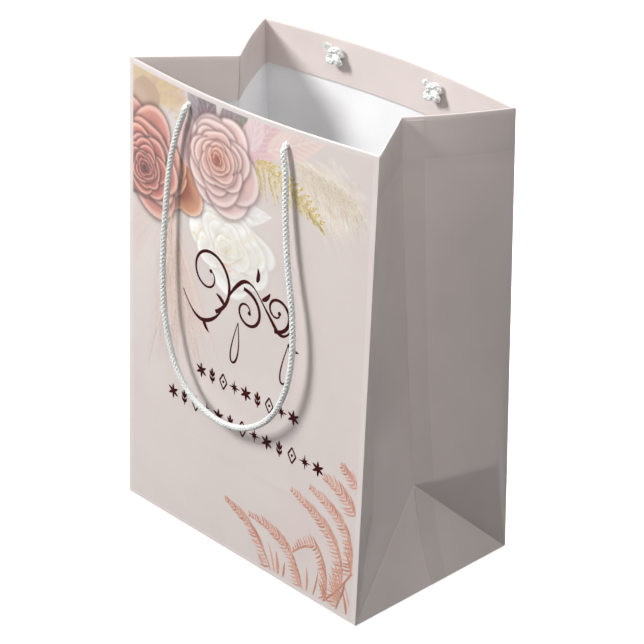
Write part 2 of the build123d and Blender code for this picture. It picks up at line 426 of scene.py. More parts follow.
def streaks(canvas, root, fan, length, count, colours, alpha, seed, bend=0.2):
    """Fan of fine hairs from root, between two directions in degrees, each bending down."""
    rng = random.Random(seed)
    width, spots = 0.5, 26
    for _ in range(count):
        angle = math.radians(rng.uniform(*fan))
        reach = length * rng.uniform(0.55, 1.0)
        start = rng.uniform(0.0, 0.45)
        fall = bend * reach * math.cos(angle) ** 2 * rng.uniform(0.5, 1.3)
        colour = rng.choice(colours)
        strength = alpha * rng.uniform(0.5, 1.0)
        for k in range(spots):
            t = start + (1 - start) * k / (spots - 1)
            u = root[0] + math.cos(angle) * reach * t
            v = root[1] + math.sin(angle) * reach * t - fall * t * t
            step = reach * (1 - start) / spots
            place, x, y = canvas.window(u, v, step + 1.2)
            a, b = turned(x, y, math.degrees(angle))
            mask = np.exp(-((a / (step * 0.75)) ** 2) - (b / (width * (1.15 - t))) ** 2)
            canvas.lay(place, mask * strength * math.sin(math.pi * min(k / spots + 0.08, 1)) ** 0.5, colour)


# foot, length and width, bearing, colour, colour of its veins, and how close the veins are
LEAVES = [
    ((-22, 246), (34, 19), 118, (158, 146, 150), (186, 174, 178), 0.5),
    ((-24, 248), (30, 16), 82, (128, 114, 120), (168, 156, 160), 0.5),
    ((-10, 250), (30, 18), 52, (146, 133, 138), (178, 166, 168), 0.5),
    ((2, 244), (30, 15), 68, (136, 137, 126), (160, 160, 150), 0.5),
    ((6, 240), (44, 25), 50, (224, 190, 193), (234, 212, 212), 0.6),
    ((24, 251), (46, 17), 24, (231, 208, 202), (238, 224, 217), 0.6),
    ((12, 247), (34, 13), 76, (230, 206, 208), (238, 222, 222), 0.55),
]
BORDER = 3.0  # width in millimetres of the pale border round the picture
BORDER_SOFT = 0.25  # half the width of its soft inner edge


def linears(*colours):
    return [linear(*c) for c in colours]


def paint_plumes(canvas):
    """Soft plumes at the left and the upper right, behind the blossoms."""
    wash(canvas, -48, 150, 24, 62, 8, linear(222, 206, 198), 0.55, 3, 0.8)
    wash(canvas, -84, 178, 10, 34, -12, linear(212, 192, 186), 0.5, 4, 0.7)
    peach = linears((226, 197, 183), (238, 228, 220), (214, 182, 166))
    streaks(canvas, (-56, 196), (-104, -62), 112, 150, peach, 0.42, 11)
    mauve = linears((206, 180, 172), (228, 214, 206))
    streaks(canvas, (-56, 200), (-150, -100), 78, 60, mauve, 0.22, 12)
    wash(canvas, 66, 236, 27, 20, -30, linear(231, 222, 209), 0.75, 5, 0.6)
    cream = linears((232, 222, 208), (240, 233, 224), (208, 190, 166))
    streaks(canvas, (42, 252), (-62, 2), 56, 260, cream, 0.45, 13, 0.35)
    seeds = linears((238, 230, 218), (245, 240, 233), (212, 196, 172))
    speckle(canvas, 66, 240, 24, 17, seeds, 210, 1.8, 0.5, 14, -40)


def paint_patch(canvas):
    """Gold and lilac patch, tan rounds, and the leaves that fan out above the roses."""
    wash(canvas, -68, 262, 30, 16, 0, linear(207, 184, 150), 1.0, 21, 0.35)
    dabs = linears((212, 186, 132), (200, 168, 178), (222, 200, 160), (190, 164, 130))
    speckle(canvas, -60, 258, 24, 12, dabs, 210, 2.0, 0.55, 22, 25)
    wash(canvas, -79, 250, 15, 12, 0, linear(186, 156, 132), 1.0, 23, 0.12)
    wash(canvas, -92, 240, 24, 16, 35, linear(196, 168, 148), 0.9, 24, 0.4)
    for foot, size, angle, tone, vein, veins in LEAVES:
        leaf(canvas, *foot, *size, angle, linear(*tone), linear(*vein), veins)


def paint_white_blossom(canvas):
    """White blossom in the middle, with the veil beside it."""
    outer = linears((222, 214, 198), (240, 238, 234), (249, 248, 246), (204, 196, 186))
    inner = linears((230, 218, 190), (238, 234, 224), (245, 243, 238), (214, 200, 172))
    wash(canvas, 6, 222, 16, 7, 24, linear(226, 222, 222), 0.8, 31, 0.5)
    leaf(canvas, -12, 207, 40, 15, 12, linear(236, 233, 230), linear(246, 244, 242), 0.35)
    rose(canvas, -4, 190, 31, outer, inner, 32, heart=(-5, -4), rings=7, squash=0.84, ruffle=0.16)
    dabs = linears((240, 238, 234), (240, 238, 232), (230, 222, 200), (228, 226, 224))
    speckle(canvas, -4, 188, 25, 19, dabs, 190, 3.0, 0.42, 33, 30)
    speckle(canvas, -32, 188, 5, 5, linears((224, 208, 150)), 12, 1.6, 0.5, 34)
    speckle(canvas, -6, 176, 7, 3, linears((232, 190, 170)), 9, 1.5, 0.6, 35)


def paint_roses(canvas):
    """Terracotta rose at the left edge, made of three layers, and the dusty pink rose beside it."""
    tawny = linears((150, 84, 62), (204, 146, 116), (234, 190, 162), (104, 52, 42))
    clay = linears((122, 58, 52), (202, 134, 122), (232, 186, 172), (78, 28, 28))
    brick = linears((98, 38, 38), (188, 112, 102), (228, 174, 160), (66, 20, 22))
    deep = linears((70, 22, 24), (150, 78, 70), (214, 158, 142), (48, 12, 16))
    rose(canvas, -51, 212, 22, tawny, tawny, 47, heart=(-14, 6), rings=5, squash=0.82, ruffle=0.14, depth=0.8)
    rose(canvas, -78, 217, 35, clay, brick, 44, heart=(-2, -8), rings=6, squash=0.92, ruffle=0.11, depth=0.85)
    rose(canvas, -80, 209, 24, brick, deep, 41, heart=(-1, 0), rings=7, squash=0.8, ruffle=0.09, depth=0.95)
    dusty = linears((180, 134, 130), (225, 193, 189), (241, 223, 219), (124, 84, 84))
    warm = linears((152, 88, 72), (214, 158, 138), (238, 200, 182), (132, 66, 56))
    leaf(canvas, -34, 222, 30, 21, 110, linear(214, 184, 182), linear(222, 196, 194), 0.1)
    rose(canvas, -14, 234, 29, dusty, warm, 53, heart=(-1, 1), rings=8, squash=0.95, ruffle=0.085, depth=0.75)


def paint_border(canvas):
    """Pale border round the picture."""
    u, v = np.meshgrid(canvas.us, canvas.vs)
    inset = np.minimum(np.minimum(HALF_W / MM - np.abs(u), v), HEIGHT / MM - v)
    share = smooth(BORDER - inset, -BORDER_SOFT, BORDER_SOFT)
    canvas.rgb += (linear(222, 212, 209) - canvas.rgb) * share[..., None]


def paint_front(us, vs):
    """The front panel's blossoms, leaves and plumes, and its pale border."""
    canvas = Canvas(us, vs, linear(217, 206, 202))
    paint_plumes(canvas)
    paint_patch(canvas)
    paint_white_blossom(canvas)
    paint_roses(canvas)
    wash(canvas, 52, 40, 34, 30, 0, linear(219, 200, 196), 0.35, 61, 0.9)
    wash(canvas, -88, 60, 14, 60, 0, linear(216, 202, 200), 0.5, 62, 0.8)
    paint_border(canvas)
    return canvas.rgb


# ---------------- cords
# Route of the hanging front handle, in the front wall's frame, millimetres: across, up, out.
ROUTE = [
    (-37.6, 258.6, 6.9),
    (-37.7, 258.0, 9.9),
    (-39.6, 252.0, 10.4),
    (-43.8, 243.5, 9.9),
    (-49.5, 224.0, 10.4),
    (-52.5, 193.0, 10.8),
    (-54.0, 160.0, 11.2),
    (-51.0, 128.0, 11.7),
    (-38.0, 99.0, 12.0),
    (-12.5, 86.5, 12.2),
    (15.0, 89.0, 12.2),
    (38.0, 105.0, 12.0),
    (50.5, 133.0, 11.7),
    (51.0, 165.0, 11.2),
    (44.5, 194.0, 10.8),
    (41.0, 224.0, 10.4),
    (40.0, 245.0, 9.9),
    (38.4, 252.5, 10.4),
    (37.7, 258.0, 9.9),
    (37.6, 258.6, 6.9),
]


def nurbs_line(points, resolution):
    """Points read from a smooth NURBS line with the given control points."""
    data = bpy.data.curves.new("line", "CURVE")
    data.dimensions = "3D"
    spline = data.splines.new("NURBS")
    spline.points.add(len(points) - 1)
    for slot, p in zip(spline.points, points):
        slot.co = (*p, 1)
    spline.order_u = 3
    spline.use_endpoint_u = True
    spline.resolution_u = resolution
    holder = bpy.data.objects.new("line", data)
    mesh = bpy.data.meshes.new_from_object(holder)
    line = np.array([v.co for v in mesh.vertices])
    bpy.data.objects.remove(holder)
    return line


def even_line(line, step):
    """The same line with evenly spaced points."""
    lengths = np.r_[0, np.cumsum(np.linalg.norm(np.diff(line, axis=0), axis=1))]
    count = max(int(round(lengths[-1] / step)), 2)
    at = np.linspace(0, lengths[-1], count + 1)
    return np.stack([np.interp(at, lengths, line[:, i]) for i in range(3)], axis=1)


BRAID_STRANDS = 4  # in each direction, an even number
BRAID_PITCH = 9.6 * MM
BRAID_STEP = 0.55 * MM


def braid(builder, line, diameter):
    """Tubular braid round a core, along line: half the strands wind each way, over and under."""
    line = even_line(line, BRAID_STEP)
    normals, binormals = carried_frame(line)
    along = np.arange(len(line)) * BRAID_STEP
    turn = 2 * np.pi / BRAID_PITCH
    weave = 0.04 * diameter
    strand = 0.12 * diameter
    mean = diameter * 0.52 - strand
    builder.add(*tube(line, mean - strand * 0.5, 10))
    for sense in (1, -1):
        for i in range(BRAID_STRANDS):
            angle = sense * turn * along + 2 * np.pi * (i + (sense < 0) * 0.5) / BRAID_STRANDS
            lift = weave * sense * np.sin(turn * along * BRAID_STRANDS)
            reach = (mean + lift)[:, None]
            path = line + reach * (normals * np.cos(angle)[:, None] + binormals * np.sin(angle)[:, None])
            builder.add(*tube(path, strand, 6))


def make_handle(word, y_sign, materials):
    """A braided cord handle from one hole, round its loop and into the other hole."""
    route = np.array(ROUTE) * MM
    points = front_point(route[:, 0], route[:, 1], route[:, 2]) * np.array([1, y_sign, 1])
    line = nurbs_line(points, 16)
    builder = Builder()
    braid(builder, line, CORD)
    rope = builder.finish(f"{word}_cord_handle", materials, 60)
    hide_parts(f"{word}_cord")
    [tuple(p) for p in even_line(line, 2 * MM)]
    top = float(line[0][2])
    hinge_y = joint[f"{word}_handle_swing"]["pos_m"][1]
    start, end = (0, hinge_y, top + 1 * MM), (0, hinge_y, top - 16 * MM)
    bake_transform(rope)
    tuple(start)
    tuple(end)


KNOT_TURN = {"front": 3.0, "back": 0.85}  # which way a knot's free end points, from straight up, in radians
KNOT_SIZE = 1.45 * MM  # the trefoil's unit
KNOT_FLAT = 0.9
KNOT_IN = CARD_GAP + 4.6 * MM  # from the hole to the middle of the knot


def trefoil(count=90):
    t = np.linspace(0, 2 * np.pi, count)
    x, y = np.sin(t) + 2 * np.sin(2 * t), np.cos(t) - 2 * np.cos(2 * t)
    return np.stack([x, y, -1.15 * np.sin(3 * t)], axis=1)


def make_knot(name, side, y_sign, materials, seed, stub_turn, tufted):
    """Tight overhand knot on the hem with a short frayed end, and the cord through the hole."""
    rng = random.Random(seed)
    hole = front_surface(np.array(side * HOLE_X), np.array(HOLE_V), np.array(0.0)) * np.array([1, y_sign, 1])
    out = np.array([0, -COS_LEAN * y_sign, SIN_LEAN])
    up = np.array([0, SIN_LEAN * y_sign, COS_LEAN])
    across = np.array([1.0, 0, 0])
    shift = across * 2.2 * MM if y_sign < 0 else up * 1.2 * MM
    centre = hole - out * KNOT_IN - shift
    cos_t, sin_t = math.cos(stub_turn), math.sin(stub_turn)
    side_way = across * cos_t + up * sin_t
    up_way = up * cos_t - across * sin_t

    def placed(p):
        flat = p[..., :1] * side_way + p[..., 1:2] * up_way
        return centre + (flat - p[..., 2:] * out * KNOT_FLAT) * KNOT_SIZE

    builder = Builder()
    braid(builder, placed(trefoil()), CORD * 1.12)
    braid(builder, np.linspace(hole + out * 0.6 * MM, centre, 12), CORD)
    start = placed(np.array([0.4, 2.2, 0.4]))
    tip_way = up_way * 0.75 + side_way * 0.35 - out * 0.35
    tip_way /= np.linalg.norm(tip_way)
    stub, hairs, spread, reach = (3.4 * MM, 60, 0.75, 0.9) if tufted else (5.0 * MM, 14, 0.3, 0.45)
    end = start + tip_way * stub
    braid(builder, np.linspace(start - tip_way * 1.5 * MM, end, 12), CORD * 0.9)
    for _ in range(hairs):
        sway = np.array([rng.uniform(-1, 1) for _ in range(3)]) * spread
        way = (tip_way + sway) * reach
        root = end + sway * 1.3 * MM - tip_way * 0.6 * MM
        strand = [root + way * MM * k + np.array([0, 0, -0.12 * MM * k * k]) for k in (0, 0.8, 1.5, 2.1)]
        builder.add(*tube(strand, [0.22 * MM, 0.2 * MM, 0.16 * MM, 0.06 * MM], 4))
    return builder.finish(name, materials, 60)


# ---------------- crisp ink, as thin raised strokes
INK_LOW = PAPER - 0.02 * MM
INK_HIGH = PAPER + 0.045 * MM
PRINT_U, PRINT_V = 91.6, 3.4  # the printed picture's edge, inside the pale border


def in_print(u, v):
    return abs(u) < PRINT_U and PRINT_V < v < HEIGHT / MM - PRINT_V


def ink_stroke(builder, line, widths, tone=0):
    """Flat stroke on the front panel along (across, up) points in millimetres, tapering with widths."""
    line = np.asarray(line, float)[:, :2]
    if not all(in_print(u, v) for u, v in line):
        return
    along = np.gradient(line, axis=0)
    along /= np.maximum(np.linalg.norm(along, axis=1), 1e-9)[:, None]
    aside = np.stack([-along[:, 1], along[:, 0]], axis=1) * (np.asarray(widths) / 2).reshape(-1, 1)
    left, right = (line + aside) * MM, (line - aside) * MM
    stations = []
    for flat, w in ((left, INK_LOW), (right, INK_LOW), (right, INK_HIGH), (left, INK_HIGH)):
        stations.append(front_surface(flat[:, 0], flat[:, 1], w + 0 * flat[:, 0]))
    builder.add(np.stack(stations, axis=1).reshape(-1, 3), ring_faces(len(line), 4), tone)


def smooth_line(points, resolution=8):
    return nurbs_line([(*p, 0) for p in points], resolution)[:, :2]


def leaflet(builder, root, angle, length, width, tone, curl):
    """Pointed leaflet from root, curling by some degrees towards its tip."""
    shares = np.array([0, 0.3, 0.62, 0.88, 1.0])
    angles = np.radians(angle + curl * shares)
    line = np.array(root) + length * shares[:, None] * np.stack([np.cos(angles), np.sin(angles)], axis=1)
    ink_stroke(builder, line, width * np.array([0.5, 1.0, 0.85, 0.42, 0.1]), tone)


def frond(builder, spine, longest, gap, width, tones, seed, stem, spread=0, sides=(1, 1), bearings=None):
    """Fern frond from its tip down its spine, with leaflets on each side, shorter near the tip.

    Leaflets spread from the spine by an angle, or all point along two bearings, one for each side.
    """
    rng = random.Random(seed)
    line = even_line(nurbs_line([(*p, 0) for p in spine], 10), gap)[:, :2]
    ink_stroke(builder, line, np.linspace(0.25, stem, len(line)), tones[0])
    way = np.gradient(line, axis=0)
    for k in range(1, len(line)):
        share = k / (len(line) - 1)
        back = math.degrees(math.atan2(-way[k][1], -way[k][0]))
        for side, size in zip((1, -1), sides):
            length = longest * size * (0.16 + 0.84 * share**0.7) * rng.uniform(0.82, 1.08)
            angle = back + side * spread * (0.7 + 0.3 * share)
            if bearings:
                angle = bearings[0] if side > 0 else bearings[1]
            angle += rng.uniform(-6, 6)
            leaflet(builder, line[k], angle, length, width, rng.choice(tones), -side * 18)


# tip first; each frond's spine, its longest leaflet, and the bearings of the leaflets below and above it
FERNS = [
    ([(-11, 33), (-1, 29.5), (10, 25), (18, 18.5), (24, 11), (28, 3.6)], 12.325, (208, 106)),
    ([(9, 31), (23, 31), (35, 27), (44, 22), (50, 13), (54, 3.6)], 12.325, (214, 104)),
    ([(45, 23), (54, 32), (64, 36), (70, 27), (73, 18), (72, 5)], 12.325, (236, 104)),
    ([(42.5, 62), (54, 58), (65, 53), (76, 45), (84, 34), (84, 20), (79, 8)], 14.5, (212, 100)),
    ([(56.5, 69.5), (68, 65.5), (79, 60), (88, 52), (91.4, 43), (90, 30)], 13.05, (212, 100)),
    ([(66.5, 79), (77, 77.5), (86, 73), (91.5, 66.5)], 12.325, (214, 100)),
    ([(79, 92), (86, 88), (91.5, 83)], 9.425, (214, 102)),
    ([(86, 22), (85, 15), (82, 9), (80, 3.6)], 10.15, (200, 70)),
]
# foot and bearing, length and width of the loose blades among the fronds
BLADES = [
    ((31, 4), 100, 17, 1.7),
    ((34, 4), 90, 14, 2.6),
    ((38, 4), 76, 10, 1.6),
    ((52, 4), 112, 18, 3.6),
    ((57, 4), 84, 15, 1.8),
    ((62, 4), 70, 17, 1.3),
    ((22, 4), 120, 7, 2.4),
    ((72, 5), 116, 11, 2.4),
    ((88, 4), 96, 13, 2.0),
    ((90, 10), 104, 12, 1.4),
]


def make_ferns(materials):
    builder = Builder()
    for k, (spine, longest, bearings) in enumerate(FERNS):
        tones, seed = (0, 1, 1, 2), 200 + 31 * k
        frond(builder, spine, longest, 2.25, 1.2, tones, seed, stem=1.0, sides=(0.7, 1.0), bearings=bearings)
    for k, (foot, angle, length, width) in enumerate(BLADES):
        leaflet(builder, foot, angle, length, width, k % 3, 8)
    ink_stroke(builder, smooth_line([(91, 31), (84, 20), (76, 10), (70, 4)]), 1.3, 2)
    return builder.finish("fern_foil_print", materials)


def make_gold_fern(materials):
    builder = Builder()
    spine = [(62, 219), (50, 231), (34, 239), (16, 243)]
    line = even_line(nurbs_line([(*p, 0) for p in spine], 10), 4.2)[:, :2]
    ink_stroke(builder, line, np.linspace(0.3, 0.7, len(line)), 1)
    rng = random.Random(71)
    for k in range(1, len(line)):
        share = k / (len(line) - 1)
        below = (-78 + 34 * (1 - share), 5 + 18 * share**0.8)
        above = (38 - 20 * share, 4 + 9 * share)
        for angle, reach in (below, above):
            a = math.radians(angle + rng.uniform(-5, 5))
            tip = line[k] + reach * rng.uniform(0.8, 1.05) * np.array([math.cos(a), math.sin(a)])
            twig = [tip, (tip + line[k]) / 2, line[k]]
            frond(builder, twig, 2.7, 1.3, 0.75, (0, 2, 1), 300 + k, stem=0.35, spread=52)
    return builder.finish("gold_fern_print", materials)


def hair(builder, root, angle, length, fall, width, tone):
    """Fine plume hair that leaves root at an angle and droops."""
    t = np.linspace(0, 1, 9)
    a = math.radians(angle)
    u = root[0] + length * math.cos(a) * t
    v = root[1] + length * math.sin(a) * t - fall * t * t
    line = np.stack([u, v], axis=1)
    keep = np.array([in_print(*p) for p in line])
    keep = np.cumprod(keep).astype(bool)
    if keep.sum() > 3:
        ink_stroke(builder, line[keep], (width * (1.05 - t))[keep], tone)


def make_plumes(materials):
    """Hanging plume at the left and a drooping seed plume at the upper right."""
    builder = Builder()
    rng = random.Random(91)
    for stem, top, count in ((-98, 190, 60), (-86, 192, 70), (-74, 186, 55)):
        for _ in range(count):
            s = rng.uniform(0, 62)
            root = (-56 + s * math.cos(math.radians(stem)), top + s * math.sin(math.radians(stem)))
            angle = stem + rng.uniform(-20, 20)
            length, fall, width = rng.uniform(18, 44), rng.uniform(-2, 5), rng.uniform(0.22, 0.42)
            hair(builder, root, angle, length, fall, width, rng.choice((0, 1)))
    for _ in range(150):
        s = rng.uniform(0, 36)
        root = (46 + s, 250 - s * 0.25 + rng.uniform(-3, 3))
        angle, length = rng.uniform(-80, -8), rng.uniform(8, 24)
        fall, width = rng.uniform(2, 10), rng.uniform(0.2, 0.4)
        hair(builder, root, angle, length, fall, width, rng.choice((2, 3)))
    return builder.finish("plume_print", materials)


def spiral(centre, radius, turns, first):
    """Volute that winds in to a sixth of its radius, from a first bearing in degrees."""
    t = np.linspace(0, 1, 60)
    angle = math.radians(first) + 2 * math.pi * turns * t
    reach = radius * (1 - 0.84 * t**0.8)
    return np.stack([centre[0] + reach * np.cos(angle), centre[1] + reach * np.sin(angle)], axis=1)


def dot(builder, u, v, radius):
    angle = np.linspace(0, np.pi, 9)
    line = np.stack([u - radius * np.cos(angle), v + 0 * angle], axis=1)
    ink_stroke(builder, line, np.maximum(2 * radius * np.sin(angle), 0.05))


WAVE = [(-45, 150), (-36, 134), (-16, 141), (-4, 164), (10, 176), (24, 160), (36, 146), (43, 158)]
# centre, radius, turns and first bearing of each volute
VOLUTES = [((-23, 166), 21, 1.35, -75), ((8, 155), 13, -1.3, 100), ((31, 163), 12, 1.25, -100)]
DROP = [(4, 27), (5, 14), (2, 2), (-3, 1), (-2, 12), (4, 27)]


def make_flourish(materials):
    """Scrolling pen flourish: a wave with three volutes, two drops and small leaves."""
    builder = Builder()
    wave = smooth_line(WAVE, 12)
    ink_stroke(builder, wave, 0.8 + 1.6 * np.sin(np.linspace(0, 3 * np.pi, len(wave))) ** 2)
    for volute in VOLUTES:
        line = spiral(*volute)
        ink_stroke(builder, line, np.linspace(2.3, 0.9, len(line)))
        dot(builder, *line[-1], 1.25)
    for foot_u, foot_v in ((-3, 119), (36, 121)):
        drop = smooth_line([(foot_u + u, foot_v + v) for u, v in DROP])
        ink_stroke(builder, drop, 0.55 + 0.8 * np.sin(np.linspace(0, np.pi, len(drop))))
    for u, v, angle in ((-28, 138, 280), (-10, 152, 120), (16, 175, 60), (20, 166, 20), (39, 147, 320)):
        leaflet(builder, (u, v), angle, 8.5, 2.8, 0, 25)
    return builder.finish("flourish_print", materials)


def ornament(builder, u, v, kind):
    """One small generic motif about 9 mm high: blossom, diamond, sprig or star."""
    if kind == 0:
        for k in range(6):
            leaflet(builder, (u, v), 90 + 60 * k, 4.6, 1.9, 0, 0)
    elif kind == 1:
        corners = [(u, v + 4.8), (u + 3, v), (u, v - 4.8), (u - 3, v), (u, v + 4.8)]
        for a, b in zip(corners, corners[1:]):
            ink_stroke(builder, np.linspace(a, b, 3), 1.05)
        dot(builder, u, v, 0.9)
    elif kind == 2:
        ink_stroke(builder, [(u, v - 4.8), (u, v), (u, v + 2)], 0.8)
        for side in (1, -1):
            for low in (-3.2, -0.2):
                leaflet(builder, (u, v + low), 90 - side * 48, 4.0, 1.7, 0, side * 16)
        leaflet(builder, (u, v + 1.4), 90, 3.6, 1.8, 0, 0)
    else:
        for k in range(4):
            a = math.radians(45 * k)
            way = np.array([math.cos(a), math.sin(a)]) * (4.4 if k % 2 == 0 else 2.7)
            ink_stroke(builder, np.linspace(-way, way, 5) + (u, v), [0.2, 0.9, 1.5, 0.9, 0.2])


def make_ornaments(materials):
    """Two rows of ornaments below the flourish."""
    builder = Builder()
    for v, first, last, count in ((105.5, -30, 44, 9), (82.5, -55, 63, 13)):
        for k in range(count):
            ornament(builder, first + (last - first) * k / (count - 1), v, (0, 2, 1, 3)[k % 4])
    return builder.finish("ornament_print", materials)


def ink_material(name, colour, roughness, metallic):
    """Printed ink or foil: uneven density and a faint grain."""
    mat, tree, shader = base_material(name, tuple(colour), roughness, 0.08)
    density = noise(tree, 700, 3)
    stops = [(0.3, shade(colour, 0.86)), (0.68, shade(colour, 1.08))]
    tree.links.new(ramp(tree, density, stops), shader.inputs["Base Color"])
    shader.inputs["Metallic"].default_value = metallic
    bump(tree, shader, noise(tree, 1500, 2), 0.1, 0.1 * MM)
    return mat


def ink_set(name, colours, roughness, metallic=0.0):
    return [ink_material(f"ink_{name}_{k}", linear(*c), roughness, metallic) for k, c in enumerate(colours)]


def print_front():
    """Every crisp print on the front panel."""
    maroon = [ink_material("ink_maroon", linear(58, 8, 10), 0.7, 0.0)]
    foil = ink_set("rose", [(220, 174, 158), (214, 162, 143), (203, 144, 124)], 0.5, 0.05)
    gold = ink_set("gold", [(217, 198, 146), (204, 180, 120), (230, 217, 176)], 0.42, 0.15)
    plume = ink_set("plume", [(226, 198, 184), (233, 219, 211), (232, 222, 208), (222, 206, 184)], 0.5)
    pieces = [make_ferns(foil), make_gold_fern(gold), make_plumes(plume)]
    pieces += [make_flourish(maroon), make_ornaments(maroon)]
    for piece in pieces:
        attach(piece, "front_wall")


# ---------------- walls
def grid_lines(stops):
    """Rising places in metres from (end, step) spans in millimetres, the first end being the start."""
    lines = [stops[0][0]]
    for end, step in stops[1:]:
        count = max(int(round((end - lines[-1]) / step)), 1)
        lines.extend(np.linspace(lines[-1], end, count + 1)[1:])
    return np.array(lines) * MM


def folded_rings(outer_rows, inner_rows, top, fold, turns, hem_rows):
    """Cross-section of a sheet with its turned-in hem: (outer skin, inner skin), each a list of (v, w).

    hem_rows gives the counts of levels down the hem's hidden side and up its seen side.
    """
    half = PAPER / 2
    turn = np.linspace(0, np.pi, turns)[1:]
    centre_w = half - fold
    outer = [(v, PAPER) for v in outer_rows]
    outer += [(top + (fold + half) * math.sin(a), centre_w + (fold + half) * math.cos(a)) for a in turn]
    hem_bottom = HEIGHT - HEM
    outer += [(v, centre_w - fold - half) for v in np.linspace(top, hem_bottom, hem_rows[0])[1:]]
    inner = [(v, centre_w - fold + half) for v in np.linspace(hem_bottom, top, hem_rows[1])]
    inner += [(top + (fold - half) * math.sin(a), centre_w - (fold - half) * math.cos(a)) for a in turn[:-1]]
    inner += [(v, 0.0) for v in inner_rows]
    return outer, inner


def fold_bead(builder, surface, u):
    """Rounded outside of the fold at a wall's upright edge."""
    v = np.linspace(0.4 * MM, HEIGHT - 0.7 * MM, 12)
    shift = math.copysign(PAPER / 2, u)
    line = surface(u + 0 * v, v, PAPER / 2 + 0 * v) + np.array([shift, 0, 0])
    builder.add(*tube(line, PAPER * 0.72, 10))


def make_wall(name, surface, us, vs, materials, paint=None):
    """Front or back wall: one sheet whose top is turned in as the hem."""
    top = HEIGHT - CARD_GAP / 2 - PAPER / 2
    below = vs[vs < top]
    outer, inner = folded_rings(below, np.linspace(top, vs[0], 24), top, CARD_GAP / 2, 9, (14, 4))
    ring = np.array(outer + inner)
    columns, rows = len(us), len(below)
    verts = np.concatenate([surface(u + 0 * ring[:, 0], ring[:, 0], ring[:, 1]) for u in us])
    skin = [0] * (len(outer) - 1) + [1] * len(inner) + [0]
    builder = Builder()
    builder.add(verts, ring_faces(columns, len(ring)), skin * (columns - 1) + [0, 0])
    for u in (-HALF_W, HALF_W):
        fold_bead(builder, surface, u)
    wall = builder.finish(name, materials, 50)
    if paint is not None:
        colours = np.ones((len(builder.verts), 4), np.float32)
        colours[:, :3] = BLUSH
        picture = paint(us / MM, below / MM)
        for c in range(columns):
            colours[c * len(ring) : c * len(ring) + rows, :3] = picture[:, c]
        layer = wall.data.color_attributes.new("ink", "FLOAT_COLOR", "POINT")
        layer.data.foreach_set("color", colours.ravel())
    return wall


# ---------------- gussets
def fold_reach(v):
    return np.sqrt(np.maximum(HALF_D**2 - (HALF_D - v * SIN_LEAN) ** 2, 0))


PEAK_V = HALF_D
PEAK = np.array([HALF_W - fold_reach(np.array(PEAK_V)), 0.0, PEAK_V * COS_LEAN - PEAK_DROP])
CORNER = np.array([HALF_W, -HALF_D, 0.0])


def gusset_ends(v):
    """Fold point and centre-crease (or diagonal-crease) point of a gusset half at level v."""
    start = np.stack([HALF_W + 0 * v, -HALF_D + v * SIN_LEAN, v * COS_LEAN], axis=-1)
    high = np.stack([HALF_W - fold_reach(v), 0 * v, v * COS_LEAN - PEAK_DROP], axis=-1)
    share = np.minimum(v / PEAK_V, 1)[..., None]
    low = CORNER + (PEAK - CORNER) * share
    return start, np.where(share < 1, low, high)


def front_half_bulge(s, v):
    """Inward dent of the soft bend that runs from the fold down to the front corner of the base."""
    level = v / MM
    bend = np.clip(0.36 * smooth(level, 165, 95), 0.05, 0.36)
    deep = 4.8 * MM * smooth(level, 168, 95) * smooth(level, 0, 50)
    tent = np.clip(np.where(s < bend, s / bend, (1 - s) / (1 - bend)), 0, 1)
    tent = tent - 0.12 * np.exp(-(((s - bend) / 0.12) ** 2)) * tent
    hem = 0.12 * MM * smooth(level, HEIGHT / MM - 26.6, HEIGHT / MM - 25.4) * smooth(s, 0, 0.03)
    return hem - deep * tent**1.2


def back_half_bulge(s, v):
    """Outward ridge of the level crease from the peak to the back fold, and the show of the hem."""
    level = v / MM
    knee = PEAK_V / MM
    below = np.clip(level / knee, 0, 1) ** 1.1
    above = np.clip(1 - (level - knee) / 120, 0, 1) ** 2.2
    across = smooth(s, 0, 0.16) * (1 - s**3)
    ridge = 3.8 * MM * np.where(level < knee, below, above) * across
    belly = 1.3 * MM * np.sin(np.pi * s) * smooth(level, 120, 215)
    hem = 0.22 * MM * smooth(level, HEIGHT / MM - 26.6, HEIGHT / MM - 25.4) * smooth(s, 0, 0.03)
    return ridge + belly + hem


def gusset_surface(bulge):
    def surface(s, v, w):
        start, end = gusset_ends(v)
        way = end - start
        flat = way / np.maximum(np.linalg.norm(way, axis=-1, keepdims=True), 1e-9)
        outward = np.stack([flat[..., 1], -flat[..., 0], 0 * v], axis=-1)
        outward /= np.maximum(np.linalg.norm(outward, axis=-1, keepdims=True), 1e-9)
        place = start + way * np.asarray(s)[..., None]
        return place + outward * (np.asarray(w) + bulge(s, v))[..., None]

    return surface


HALF_FOLD = 0.36 * MM  # from the middle of a gusset half's paper to the middle of its fold


def make_half(name, surface, materials, creased):
    """Front or back half of a gusset, with a bead along the centre crease if creased; the bead's lighter
    paper is a painted highlight.
    """
    top = HEIGHT - HALF_FOLD - PAPER / 2
    rows = np.r_[np.linspace(0.7 * MM, PEAK_V, 34)[:-1], np.linspace(PEAK_V, top, 74)]
    outer, inner = folded_rings(rows, rows[::-1], top, HALF_FOLD, 7, (10, 10))
    ring = np.array(outer + inner)
    shares = np.linspace(0, 1, 44)
    verts = np.concatenate([surface(s + 0 * ring[:, 0], ring[:, 0], ring[:, 1]) for s in shares])
    skin = [2 if v > HEIGHT - HEM else 0 for v, _ in outer[:-1]] + [1] * len(inner) + [0]
    builder = Builder()
    builder.add(verts, ring_faces(len(shares), len(ring)), skin * (len(shares) - 1) + [0, 0])
    if creased:
        v = np.linspace(6 * MM, HEIGHT - 1.2 * MM, 90)
        # the bead is drawn in the lighter crease paper: a painted highlight along the crease
        builder.add(*tube(surface(1 + 0 * v, v, PAPER * 0.75 + 0 * v), 0.24 * MM, 8), 3)
    return builder.finish(name, materials, 50)


SEAM_LOW = PAPER - 0.03 * MM


